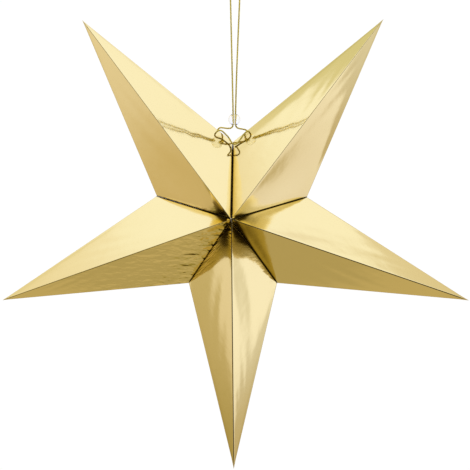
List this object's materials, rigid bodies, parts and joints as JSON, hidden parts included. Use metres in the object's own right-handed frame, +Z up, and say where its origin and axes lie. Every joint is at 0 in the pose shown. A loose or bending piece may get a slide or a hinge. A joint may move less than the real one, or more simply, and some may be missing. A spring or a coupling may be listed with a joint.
{
  "type": "hanging paper star",
  "caption": "Hollow five-pointed star of folded gold foil card, held open and hung by a thin twisted cord with a clear sliding bead.",
  "frame": {"origin": "the place where a hook bears inside the top of the cord's loop, in the star's middle plane", "axes": "+Z up along the hanging cord, -Y out of the star's front, +X to the right as the front is seen"},
  "size_m": [0.4501, 0.162, 0.4716],
  "materials": {
    "foil_card": "thin card laminated with mirror-bright pale gold foil, faintly rippled",
    "gold_cord": "twisted metallic gold thread",
    "clear_bead": "clear polished acrylic"
  },
  "bodies": {
    "root": {"point_upper_left": "foil_card", "point_left": "foil_card", "point_bottom": "foil_card", "point_right": "foil_card", "point_upper_right": "foil_card", "hanging_cord": "gold_cord", "cord_knot": "gold_cord", "cord_bead": "clear_bead"}
  },
  "joints": []
}
